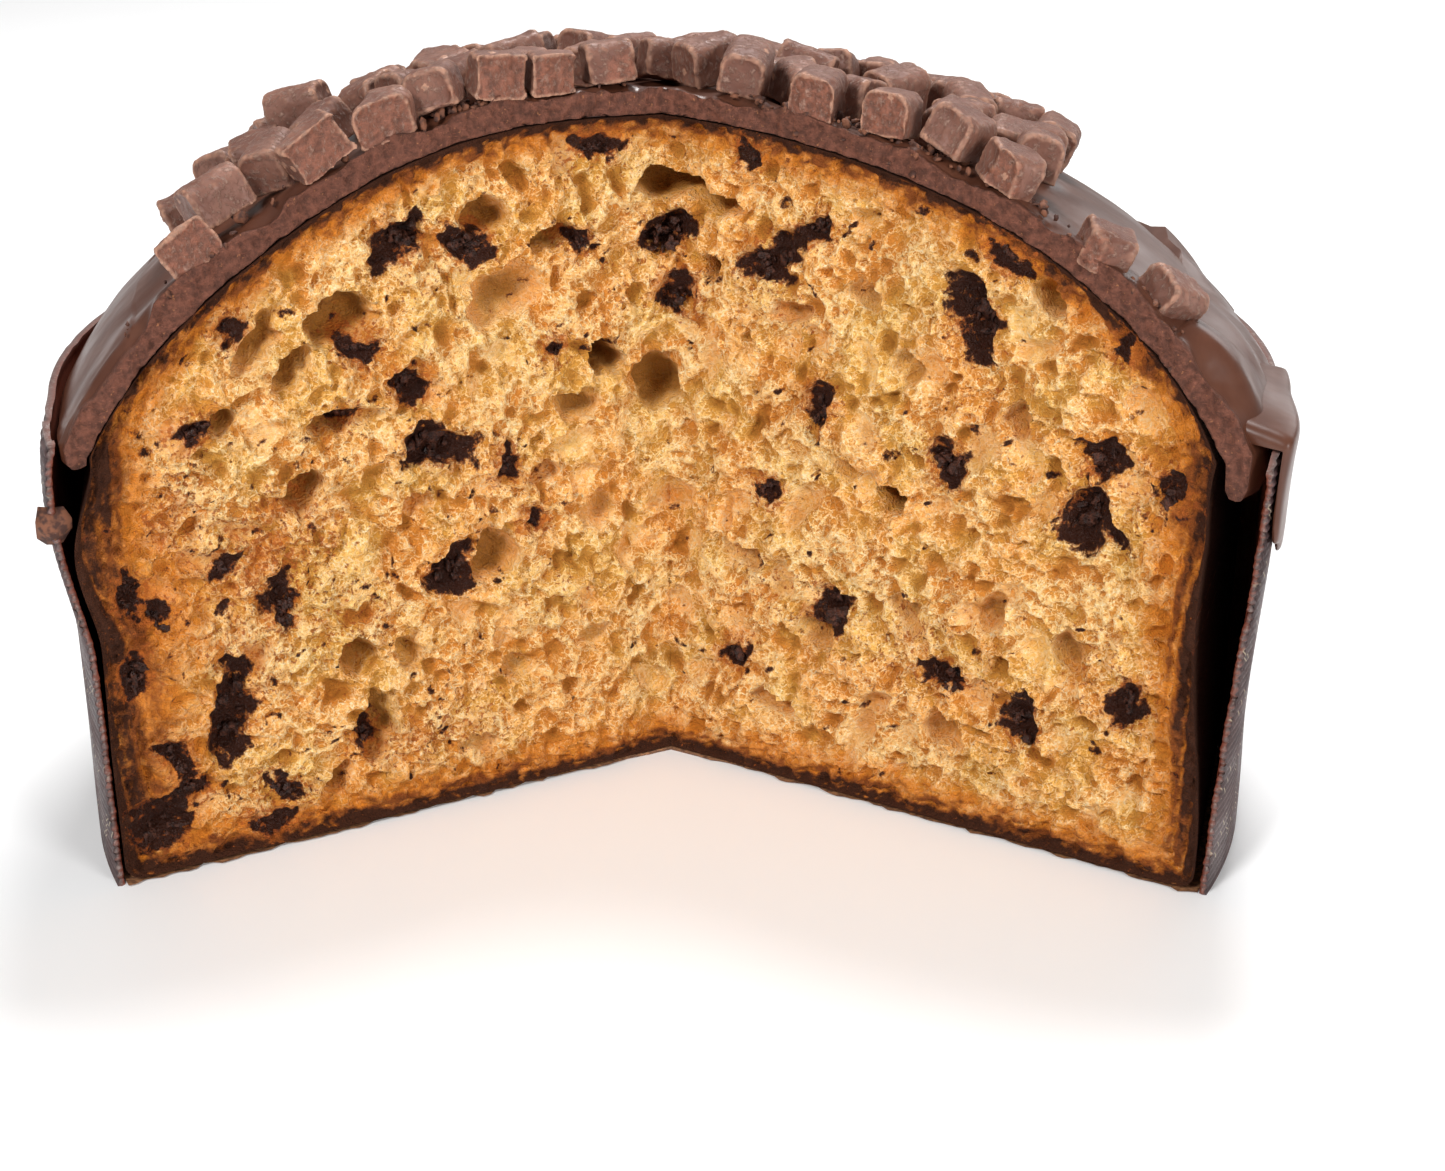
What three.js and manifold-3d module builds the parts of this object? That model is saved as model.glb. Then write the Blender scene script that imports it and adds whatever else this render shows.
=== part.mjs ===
// A low, domed chocolate panettone in its paper mould, with a wide wedge cut out of it.
// It is the bread, the poured chocolate glaze, the mould's wall and base, and the
// chocolate chunks that stand on the glaze. Millimetres, +Z up, cut faces towards -Y.
// The origin is the centre of the footprint, on the surface that the loaf stands on.
import * as THREE from "three";
import { mergeVertices } from "three/addons/utils/BufferGeometryUtils.js";
import Module from "manifold-3d";

const wasm = await Module();
wasm.setup();

// Driving dimensions
const mould = { radius: 100, height: 77, wall: 1.2, base: 0.6 };
const cut = { left: 208, right: -30 }; // bearings of the two cut faces, degrees from +X
const dome = { shoulder: 64, rise: 51, roundness: 2.4, fullness: 0.66 };
const crust = { radius: 98, neck: 1.5, footRound: 3 }; // the neck is where the dome has drawn in
const glaze = { thin: 1.6, atCut: 4.2, cutReach: 16, edge: 69 }; // thickest where the knife pushed it up
const drip = { from: -24, to: -4, bottom: 57, top: 84, overhang: 2.6 };
const gap = 0.3; // clearance between pieces that touch
const flare = { left: 3.4, right: 4.4 }; // how far the paper leans out beside each cut
const steps = { round: 42, dome: 11, side: 6 };

const degrees = Math.PI / 180;
const loafFloor = mould.base + gap;
const innerWall = mould.radius - mould.wall;
const domeRadius = crust.radius - crust.neck;

// A smooth hump of height 1 at zero that has faded out at a distance of 1.
function hump(distance) {
  const near = Math.max(0, 1 - distance * distance);
  return near * near;
}

// How near a bearing is to one of the two cut faces: 1 at the face, 0 past the reach.
function nearness(bearing, face, reach) {
  return hump((bearing - cut[face]) / reach);
}

// ---- Shapes shared by the bread and the glaze ----

// Height of the baked dome above the table, with the slow unevenness of a risen loaf.
function domeHeight(radius, bearing) {
  const share = Math.min(1, radius / mould.radius);
  const round = Math.pow(1 - Math.pow(share, dome.roundness), dome.fullness);
  const swell = 0.3 + 1.7 * Math.sin((bearing - 118) * degrees);
  return dome.shoulder + dome.rise * round + swell * hump((share - 0.35) / 0.4);
}

// Radius of the crust below the dome. It has shrunk away from the paper beside the right cut.
function crustRadius(height, bearing) {
  const neck = crust.neck * THREE.MathUtils.smoothstep(height, 56, 72);
  const leftDent = 0.6 * nearness(bearing, "left", 30) * hump((height - 50) / 30);
  const rightDent = 3.6 * nearness(bearing, "right", 34) * hump((height - 48) / 40);
  return crust.radius - neck - leftDent - rightDent;
}

// A point of the baked dome, and the same point moved out along the dome's normal.
function domePoint(step, bearing, lift = 0) {
  const radius = domeRadius * Math.sin((Math.PI / 2) * (step / steps.dome));
  const ahead = Math.min(radius + 0.5, mould.radius);
  const behind = Math.max(radius - 0.5, 0);
  const rise = domeHeight(ahead, bearing) - domeHeight(behind, bearing);
  const normal = new THREE.Vector2(-rise, ahead - behind).normalize();
  const side = step === 0 ? 0 : normal.x;
  const up = step === 0 ? 1 : normal.y;
  return [radius + lift * side, domeHeight(radius, bearing) + lift * up];
}

// ---- A closed solid swept round the axis from the right cut to the left cut ----

// profileAt(bearing) is one closed loop of [radius, height], in the same order at every
// bearing. A point at radius 0 is one vertex that every bearing shares.
function sweptSolid(profileAt, from = cut.right, to = cut.left, round = steps.round) {
  const positions = [];
  const rows = [];
  const onAxis = [];
  for (let step = 0; step <= round; step++) {
    const bearing = from + ((to - from) * step) / round;
    rows.push(
      profileAt(bearing).map(([radius, height], place) => {
        if (radius === 0 && onAxis[place] !== undefined) return onAxis[place];
        const turn = bearing * degrees;
        positions.push(radius * Math.cos(turn), radius * Math.sin(turn), height);
        const vertex = positions.length / 3 - 1;
        if (radius === 0) onAxis[place] = vertex;
        return vertex;
      }),
    );
  }
  const index = [];
  const face = (a, b, c) => {
    if (a !== b && b !== c && c !== a) index.push(a, b, c);
  };
  const count = rows[0].length;
  for (let step = 0; step < round; step++) {
    for (let place = 0; place < count; place++) {
      const next = (place + 1) % count;
      const [near, far] = [rows[step], rows[step + 1]];
      face(near[place], far[place], far[next]);
      face(near[place], far[next], near[next]);
    }
  }
  [0, round].forEach((step) => {
    const bearing = from + ((to - from) * step) / round;
    const loop = profileAt(bearing).map(([radius, height]) => new THREE.Vector2(radius, height));
    for (const [a, b, c] of THREE.ShapeUtils.triangulateShape(loop, [])) {
      const row = rows[step];
      if (step === 0) face(row[a], row[b], row[c]);
      else face(row[c], row[b], row[a]);
    }
  });
  const geometry = new THREE.BufferGeometry();
  geometry.setAttribute("position", new THREE.Float32BufferAttribute(positions, 3));
  geometry.setIndex(index);
  geometry.computeVertexNormals();
  return geometry;
}

// ---- Joining and cutting closed geometries ----

function solidOf(geometry) {
  const bare = new THREE.BufferGeometry();
  bare.setAttribute("position", geometry.getAttribute("position"));
  bare.setIndex(geometry.index);
  const merged = mergeVertices(bare, 1e-3);
  const vertProperties = merged.getAttribute("position").array;
  const triVerts = new Uint32Array(merged.index.array);
  return new wasm.Manifold(new wasm.Mesh({ numProp: 3, vertProperties, triVerts }));
}

function geometryOf(solid) {
  const { vertProperties, triVerts } = solid.getMesh();
  const geometry = new THREE.BufferGeometry();
  geometry.setAttribute("position", new THREE.BufferAttribute(vertProperties, 3));
  geometry.setIndex(new THREE.BufferAttribute(triVerts, 1));
  geometry.computeVertexNormals();
  return geometry;
}

// ---- The bread: one baked solid, crumb and crust together ----

function loafProfile(bearing) {
  const loop = [[0, loafFloor]];
  const foot = crustRadius(0, bearing);
  loop.push([foot - crust.footRound, loafFloor]);
  loop.push([foot - crust.footRound * 0.3, loafFloor + crust.footRound * 0.3]);
  const bottom = loafFloor + crust.footRound;
  const top = domePoint(steps.dome, bearing)[1];
  for (let step = 0; step < steps.side; step++) {
    const height = bottom + (top - bottom) * (step / steps.side);
    loop.push([crustRadius(height, bearing), height]);
  }
  for (let step = steps.dome; step >= 0; step--) {
    loop.push(step === 0 ? [0, dome.shoulder + dome.rise] : domePoint(step, bearing));
  }
  return loop;
}

// How far the mould's paper leans out at a place on its wall.
function wallFlare(height, bearing) {
  const left = flare.left * nearness(bearing, "left", 16) * hump((height - 62) / 40);
  const right = flare.right * nearness(bearing, "right", 15) * (height / mould.height);
  return left + right;
}

// ---- The glaze: a shell poured over the dome, down inside the mould's rim ----

// Height of its lower edge, which hangs unevenly between the bread and the paper.
function glazeEdge(bearing) {
  return glaze.edge + 2 * Math.sin(4 * bearing * degrees) + 1.5 * Math.sin((9 * bearing + 40) * degrees);
}

// Its thickness, with the waves that it set in as it ran down the flanks. Under a chunk it is
// taken a little nearer to the cut, where that side of the chunk's foot stands.
function glazeThickness(step, bearing, nearer = 0) {
  const radius = domeRadius * Math.sin((Math.PI / 2) * (step / steps.dome));
  const nearest = Math.min(bearing - cut.right, cut.left - bearing, 90);
  const fromCut = Math.max(0, radius * Math.sin(nearest * degrees) - nearer);
  const flank = hump((step / steps.dome - 0.72) / 0.5);
  const wave = Math.sin((11 * bearing + 70 * Math.sin(2 * bearing * degrees)) * degrees);
  return glaze.thin + (glaze.atCut - glaze.thin) * hump(fromCut / glaze.cutReach) + 0.5 * flank * wave;
}

function glazeProfile(bearing) {
  const outside = [];
  const inside = [];
  const rimAt = (height) => innerWall - gap + wallFlare(Math.min(height, mould.height), bearing);
  for (let step = 0; step <= steps.dome; step++) {
    const [radius, height] = domePoint(step, bearing, glazeThickness(step, bearing));
    outside.push([Math.min(radius, rimAt(height)), height]);
    inside.push(domePoint(step, bearing, gap));
  }
  outside[0] = [0, dome.shoulder + dome.rise + glaze.atCut];
  inside[0] = [0, dome.shoulder + dome.rise + gap];
  const edge = glazeEdge(bearing);
  const inner = Math.max(domeRadius, crustRadius(edge - 6, bearing)) + gap;
  const rim = rimAt(edge);
  const lowerEdge = [[inner, edge + 1.2], [(inner + rim) / 2, edge], [rim, edge + 1]];
  return [...inside, ...lowerEdge, ...outside.reverse()];
}

// A thick run of glaze that came over the rim and set down the outside of the paper.
function dripProfile(bearing) {
  const share = (bearing - drip.from) / (drip.to - drip.from);
  const full = Math.sin(Math.PI * Math.min(0.96, Math.max(0.04, share)));
  const bottom = mould.height - (mould.height - drip.bottom) * Math.sqrt(full);
  const top = mould.height + gap;
  const crown = top + (drip.top - top) * full;
  const brow = top + (crown - top) * 0.4;
  const thick = drip.overhang * full;
  const lip = mould.radius + gap + wallFlare(mould.height, bearing);
  const foot = mould.radius + gap + wallFlare(bottom, bearing);
  const root = innerWall - 4;
  return [
    [root, top], [lip, top], [foot, bottom + 0.6], [foot + thick / 2, bottom],
    [foot + thick, bottom + 0.6], [lip + thick, brow], [lip + thick / 2, (brow + crown) / 2], [root, crown],
  ];
}

function glazeGeometry() {
  const shell = solidOf(sweptSolid(glazeProfile));
  const run = solidOf(sweptSolid(dripProfile, drip.from, drip.to, 8));
  return geometryOf(shell.add(run));
}

// ---- The mould: a paper wall round a paper disc ----

function wallProfile(bearing) {
  const inner = [];
  const outer = [];
  const levels = 6;
  for (let level = 0; level <= levels; level++) {
    const height = (mould.height * level) / levels;
    const lean = wallFlare(height, bearing);
    inner.push([innerWall + lean, height]);
    outer.push([mould.radius + lean, height]);
  }
  return [...outer, ...inner.reverse()];
}

function baseProfile() {
  const radius = innerWall - gap;
  return [[0, 0], [radius, 0], [radius, mould.base], [0, mould.base]];
}

// ---- The chunks: short prisms of chocolate with a rounded back ----

// A block's section: flat foot, upright sides and rounded shoulders.
function chunkGeometry(length, width, height) {
  const round = Math.min(width, height) * 0.32;
  const half = width / 2;
  const section = new THREE.Shape();
  section.moveTo(-half, 0);
  section.lineTo(half, 0);
  section.lineTo(half, height - round);
  section.absarc(half - round, height - round, round, 0, Math.PI / 2, false);
  section.absarc(round - half, height - round, round, Math.PI / 2, Math.PI, false);
  section.closePath();
  const bevel = 0.5;
  const geometry = new THREE.ExtrudeGeometry(section, {
    depth: length - 2 * bevel,
    curveSegments: 2,
    bevelEnabled: true,
    bevelSegments: 1,
    bevelThickness: bevel,
    bevelSize: bevel,
    bevelOffset: -bevel,
  });
  // The section was drawn standing in X and Y: lay its length along X with the foot down.
  geometry.translate(0, 0, bevel - length / 2);
  geometry.rotateX(Math.PI / 2);
  geometry.rotateZ(Math.PI / 2);
  return geometry;
}

// Top of the glaze at a place on the dome, and the way that it faces there.
function glazeSeat(radius, bearing) {
  const share = Math.min(1, radius / domeRadius);
  const step = (Math.asin(share) / (Math.PI / 2)) * steps.dome;
  const here = domePoint(step || 0.01, bearing, glazeThickness(step, bearing, 5));
  const bare = domePoint(step || 0.01, bearing, 0);
  const out = new THREE.Vector2(here[0] - bare[0], here[1] - bare[1]).normalize();
  const turn = bearing * degrees;
  const point = new THREE.Vector3(here[0] * Math.cos(turn), here[0] * Math.sin(turn), here[1]);
  const normal = new THREE.Vector3(out.x * Math.cos(turn), out.x * Math.sin(turn), out.y);
  return { point, normal };
}

// Chunks that were dropped on by hand: [radius, bearing, spin, size]. The first lists run
// along the two cuts, and the last one goes over the top of the dome between them.
const besideLeftCut = [
  [74, 208.5, 25, 0], [68, 201.5, 40, 1], [73, 188, 20, 0], [59.5, 197, 80, 1], [51, 190, 55, 2],
  [53.7, 206, 35, 1], [44.3, 206, 80, 0], [35.5, 200.6, 85, 2], [27.4, 205, 24, 0], [18.7, 203, 20, 2],
  [8.8, 180, 15, 2],
];
const besideRightCut = [
  [12, 2, 80, 1], [25, -23, 70, 0], [37.5, -27, 60, 0], [46.6, -24, 50, 0], [56, -27, 10, 2],
  [57, -2, 20, 1], [39, 20, 40, 1], [72, -27, 0, 2], [81, -25, 30, 0],
];
const overTheTop = [
  [69, 178, 70, 2], [63, 168, 35, 0], [48, 164, 50, 1], [43, 151, 80, 0], [33, 138, 30, 1],
  [25, 160, 60, 0], [30, 117, 60, 1], [18, 92, 15, 2], [16.5, 136, 60, 2], [10.5, 50, 35, 1],
  [31, 82, 20, 0], [36, 61, 55, 0], [47, 69, 10, 1], [42, 48, 75, 0], [49, 37, 25, 2],
  [53.5, 27, 60, 1], [60, 18, 5, 0], [44, 95, 50, 1], [45, 112, 20, 0], [50, 130, 65, 0],
  [57, 147, 20, 1], [24, 34, 20, 2],
];
const chunkSizes = [
  { length: 8.8, width: 7.6, height: 6.8 },
  { length: 9.8, width: 7.4, height: 7 },
  { length: 7.8, width: 8, height: 6.4 },
];
const mostChunks = 56;
const chunkClearance = 0.5; // under a foot, for the waves of the glaze

// The rest are scattered over the far side in a sunflower spiral.
function scatteredPlaces() {
  const golden = 137.508;
  const places = [];
  for (let turn = 1; turn < 200; turn++) {
    const radius = 9 * Math.sqrt(turn) * (1 + 0.05 * Math.sin(turn * 2.3));
    const bearing = (turn * golden + 14 * Math.sin(turn * 1.7)) % 360;
    if (radius < 72 && bearing > 20 && bearing < 165) {
      places.push([radius, bearing, (turn * 53) % 90, turn % 3]);
    }
  }
  return places;
}

// Everything that the missing wedge would have held, from the axis out past the mould.
function missingWedge() {
  const [reach, height] = [130, 150];
  const outline = [[0, -1], [reach, -1], [reach, height], [0, height]];
  return solidOf(sweptSolid(() => outline, cut.left, 360 + cut.right, 8));
}

// One chunk where it sits, leaning a little, and sliced where the cut goes through it.
function chunkPiece([radius, bearing, spin, size], number, wedge) {
  const { length, width, height } = chunkSizes[size];
  const { point, normal } = glazeSeat(radius, bearing);
  const lean = 11 * Math.sin(7.3 * number) * degrees;
  const roll = 9 * Math.sin(4.1 * number + 1) * degrees;
  const lift = (length * Math.abs(Math.sin(lean)) + width * Math.abs(Math.sin(roll))) / 2;
  const placed = new THREE.Object3D();
  placed.quaternion.setFromUnitVectors(new THREE.Vector3(0, 0, 1), normal);
  placed.rotateZ(spin * degrees);
  placed.rotateY(lean);
  placed.rotateX(roll);
  placed.position.copy(point).addScaledVector(normal, chunkClearance + lift);
  placed.updateMatrix();
  const geometry = chunkGeometry(length, width, height).applyMatrix4(placed.matrix);
  const name = `topping_chunk_${String(number + 1).padStart(2, "0")}`;
  return named(name, geometryOf(solidOf(geometry).subtract(wedge)), chunkMaterial());
}

// Hand-placed chunks come first, and a scattered one is left out where it would touch.
function chunkPieces() {
  const kept = [...besideLeftCut, ...besideRightCut, ...overTheTop];
  const seat = ([radius, bearing]) => glazeSeat(radius, bearing).point;
  const apart = 11.8;
  for (const place of scatteredPlaces()) {
    const clear = kept.every((other) => seat(place).distanceTo(seat(other)) > apart);
    if (clear && kept.length < mostChunks) kept.push(place);
  }
  const wedge = missingWedge();
  return kept.map((place, number) => chunkPiece(place, number, wedge));
}

// ---- Materials ----

const finish = (color, roughness) => new THREE.MeshStandardMaterial({ color, roughness, metalness: 0 });
const breadMaterial = () => finish(0xe0a95c, 0.9);
const glazeMaterial = () => finish(0x4a2a22, 0.3);
const chunkMaterial = () => finish(0x5e3a30, 0.5);
const wallMaterial = () => finish(0x3a2422, 0.7);
const baseMaterial = () => finish(0x4b2a1c, 0.8);

function named(name, geometry, material) {
  const mesh = new THREE.Mesh(geometry, material);
  mesh.name = name;
  return mesh;
}

// ---- The assembly ----

const panettone = new THREE.Group();
panettone.add(named("loaf", sweptSolid(loafProfile), breadMaterial()));
panettone.add(named("chocolate_glaze", glazeGeometry(), glazeMaterial()));
panettone.add(named("mould_wall", sweptSolid(wallProfile), wallMaterial()));
panettone.add(named("mould_base", sweptSolid(baseProfile), baseMaterial()));
panettone.add(...chunkPieces());

// Everything above is built round the loaf's own axis: bring the footprint's centre to the origin.
const footprint = new THREE.Box3().setFromObject(panettone, true);
const middle = footprint.getCenter(new THREE.Vector3());
panettone.position.set(-middle.x, -middle.y, 0);

export default panettone;
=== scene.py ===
import math

import bpy
import numpy as np
from mathutils import Matrix, Vector


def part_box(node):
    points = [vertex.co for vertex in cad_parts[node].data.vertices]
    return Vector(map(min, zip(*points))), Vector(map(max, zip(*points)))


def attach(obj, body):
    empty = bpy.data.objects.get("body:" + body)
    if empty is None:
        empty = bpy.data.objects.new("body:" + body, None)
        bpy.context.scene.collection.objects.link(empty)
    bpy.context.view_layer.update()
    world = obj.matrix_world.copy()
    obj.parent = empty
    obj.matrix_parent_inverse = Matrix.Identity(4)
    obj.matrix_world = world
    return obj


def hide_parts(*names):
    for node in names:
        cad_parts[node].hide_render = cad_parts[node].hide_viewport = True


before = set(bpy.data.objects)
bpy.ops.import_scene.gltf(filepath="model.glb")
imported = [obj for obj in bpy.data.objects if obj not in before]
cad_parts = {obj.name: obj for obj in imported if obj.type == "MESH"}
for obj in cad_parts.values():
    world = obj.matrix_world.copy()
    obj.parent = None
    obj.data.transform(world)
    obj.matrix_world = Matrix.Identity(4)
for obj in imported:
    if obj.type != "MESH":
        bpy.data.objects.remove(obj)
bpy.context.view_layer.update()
print("frame loaded:", len(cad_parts), "nodes")

mm = 0.001
baseLow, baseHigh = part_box("mould_base")
baseRadius = (baseHigh.x - baseLow.x) / 2
axis = Vector(((baseLow.x + baseHigh.x) / 2, baseHigh.y - baseRadius, 0))  # where the two cuts meet

# Driving dimensions, in millimetres and degrees about the loaf's axis
mould = {"radius": 100, "height": 77, "wall": 1.2, "base": 0.6}
cut = {"left": 208, "right": -30}
dome = {"shoulder": 64, "rise": 51, "roundness": 2.4, "fullness": 0.66}
crust = {"radius": 98, "neck": 1.5, "footRound": 3}
glaze = {"thin": 1.6, "atCut": 4.2, "cutReach": 16, "edge": 69}
lean = {"left": 3.4, "right": 4.4}
gap = 0.3
loafFloor = mould["base"] + gap
domeRadius = crust["radius"] - crust["neck"]
innerWall = mould["radius"] - mould["wall"]


def hump(distance):
    near = np.clip(1 - np.square(distance), 0, None)
    return near * near


def smooth(value, low, high):
    share = np.clip((value - low) / (high - low), 0, 1)
    return share * share * (3 - 2 * share)


def blend(a, b, share):
    return a + (b - a) * share


def turned(x, y, turn):
    cosine, sine = math.cos(math.radians(turn)), math.sin(math.radians(turn))
    return x * cosine - y * sine, x * sine + y * cosine


def flatPlace(radius, bearing):
    return np.stack([radius * np.cos(np.radians(bearing)), radius * np.sin(np.radians(bearing))], -1)


def polar(radius, bearing, height):
    turn = np.radians(bearing)
    radius, height = np.broadcast_arrays(radius, height)
    across = axis.x + radius * np.cos(turn) * mm
    along = axis.y + radius * np.sin(turn) * mm
    return np.stack([across, along, height * mm], -1)


def noise(points, size, seed):  # smooth value noise between -1 and 1, size in the points' own unit
    spot = np.asarray(points) / size + seed * 7.31
    cell = np.floor(spot).astype(np.int64)
    share = spot - cell
    share = share * share * (3 - 2 * share)
    total = 0
    for corner in np.ndindex(*(2,) * spot.shape[-1]):
        mixed = np.full(spot.shape[:-1], seed * 668265263, np.int64)
        weight = 1.0
        for place, step in enumerate(corner):
            mixed = (mixed ^ (cell[..., place] + step)) * (2654435761 + 40503 * place)
            mixed ^= mixed >> 15
            weight = weight * (share[..., place] if step else 1 - share[..., place])
        total = total + weight * ((mixed & 0xFFFF) / 32767.5 - 1)
    return total


def layered(points, size, seed, layers=3):
    return sum(noise(points, size / 2**n, seed + n) / 2**n for n in range(layers))


def deselectAll():
    bpy.ops.object.select_all(action="DESELECT")


def choose(piece):
    deselectAll()
    piece.select_set(True)
    bpy.context.view_layer.objects.active = piece


def editAll(piece):
    choose(piece)
    bpy.ops.object.mode_set(mode="EDIT")
    bpy.ops.mesh.select_all(action="SELECT")


def editDone():
    bpy.ops.object.mode_set(mode="OBJECT")


def coordinates(piece, kind="co"):
    flat = np.empty(len(piece.data.vertices) * 3)
    piece.data.vertices.foreach_get(kind, flat)
    return flat.reshape(-1, 3)


def moveTo(piece, points):
    piece.data.vertices.foreach_set("co", np.ascontiguousarray(points, float).ravel())
    piece.data.update()


def paint(piece, name, values):
    layer = piece.data.attributes.get(name) or piece.data.attributes.new(name, "FLOAT", "POINT")
    layer.data.foreach_set("value", np.ascontiguousarray(values, np.float32).ravel())


def painted(piece, name):
    values = np.empty(len(piece.data.vertices), np.float32)
    piece.data.attributes[name].data.foreach_get("value", values)
    return values


def copyOf(source, name):
    piece = source.copy()
    piece.data = source.data.copy()
    bpy.context.collection.objects.link(piece)
    piece.name = name
    return piece


def sheet(name, columns, rows, place):  # a grid whose points place(u, v) puts where they belong
    deselectAll()
    bpy.ops.mesh.primitive_grid_add(x_subdivisions=columns, y_subdivisions=rows, size=2)
    piece = bpy.context.object
    piece.name = name
    flat = (coordinates(piece) + 1) / 2
    points, masks = place(flat[:, 0], flat[:, 1])
    moveTo(piece, points)
    for mask, values in masks.items():
        paint(piece, mask, values)
    return piece


def joined(name, pieces, weld=0.00002):
    deselectAll()
    for piece in pieces:
        piece.select_set(True)
    bpy.context.view_layer.objects.active = pieces[0]
    if len(pieces) > 1:
        bpy.ops.object.join()
    whole = bpy.context.object
    whole.name = name
    editAll(whole)
    if weld:
        bpy.ops.mesh.remove_doubles(threshold=weld)
    bpy.ops.mesh.normals_make_consistent(inside=False)
    editDone()
    return whole


def fillHoles(piece):  # one flat face over each open loop
    editAll(piece)
    bpy.ops.mesh.select_mode(type="EDGE")
    bpy.ops.mesh.select_all(action="DESELECT")
    bpy.ops.mesh.select_non_manifold()
    bpy.ops.mesh.edge_face_add()
    bpy.ops.mesh.quads_convert_to_tris(quad_method="BEAUTY", ngon_method="BEAUTY")
    bpy.ops.mesh.select_mode(type="VERT")
    bpy.ops.mesh.select_all(action="SELECT")
    bpy.ops.mesh.normals_make_consistent(inside=False)
    editDone()


def finished(piece, material, slot, *nodes, angle=None):
    choose(piece)
    if angle is None:
        bpy.ops.object.shade_smooth()
    else:
        bpy.ops.object.shade_smooth_by_angle(angle=math.radians(angle))
    piece.data.materials.clear()
    piece.data.materials.append(material)
    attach(piece, "root")
    if nodes:
        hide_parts(*nodes)
    return piece


# Shape of the loaf, the same as the solids'

def nearness(bearing, side, reach):
    return hump((bearing - cut[side]) / reach)


def domeHeight(radius, bearing):
    share = np.clip(radius / mould["radius"], 0, 1)
    rounded = (1 - share ** dome["roundness"]) ** dome["fullness"]
    swell = 0.3 + 1.7 * np.sin(np.radians(bearing - 118))
    return dome["shoulder"] + dome["rise"] * rounded + swell * hump((share - 0.35) / 0.4)


def crustRadius(height, bearing):
    neck = crust["neck"] * smooth(height, 56, 72)
    leftDent = 0.6 * nearness(bearing, "left", 30) * hump((height - 50) / 30)
    rightDent = 3.6 * nearness(bearing, "right", 34) * hump((height - 48) / 40)
    foot = np.clip(1 - (height - loafFloor) / crust["footRound"], 0, 1)
    footDent = crust["footRound"] * (1 - np.sqrt(1 - foot * foot * 0.98))
    hug = 0.6 * smooth(height, 72, 60) * (1 - nearness(bearing, "right", 34))  # pressed against the paper
    leftBulge = 2.4 * nearness(bearing, "left", 14) * hump((height - 58) / 16)  # follows the paper outward
    return crust["radius"] + hug + leftBulge - neck - leftDent - rightDent - footDent


def wallLean(height, bearing):
    left = lean["left"] * nearness(bearing, "left", 14) * hump((height - 66) / 27)
    right = lean["right"] * nearness(bearing, "right", 15) * height / mould["height"]
    return left + right


def domeNormal(radius, bearing):  # outward and upward parts of the dome's normal
    ahead = np.minimum(radius + 0.5, mould["radius"])
    behind = np.maximum(radius - 0.5, 0)
    rise = domeHeight(ahead, bearing) - domeHeight(behind, bearing)
    size = np.hypot(rise, ahead - behind)
    onAxis = radius < 0.01
    return np.where(onAxis, 0, -rise / size), np.where(onAxis, 1, (ahead - behind) / size)


def domeUp(radius, bearing):  # the same normal as a vector
    outward, upward = domeNormal(radius, bearing)
    return Vector((*(flatPlace(1, bearing) * outward), float(upward)))


def roundLoaf(u, crowding=0):  # bearing from the right cut to the left, columns closer beside the cuts
    return blend(cut["right"], cut["left"], u - crowding * np.sin(2 * np.pi * u))


def nearEnds(u, start, full=0):
    return np.maximum(smooth(u, start, full), smooth(u, 1 - start, 1 - full))


# Materials: an expression on wires adds its own nodes

class Wire:
    def __init__(self, finish, socket):
        self.finish = finish
        self.socket = socket

    def __add__(self, other):
        return self.finish.maths("ADD", self, other)

    def __sub__(self, other):
        return self.finish.maths("SUBTRACT", self, other)

    def __rsub__(self, other):
        return self.finish.maths("SUBTRACT", other, self)

    def __mul__(self, other):
        return self.finish.maths("MULTIPLY", self, other)

    __radd__ = __add__
    __rmul__ = __mul__


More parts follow.
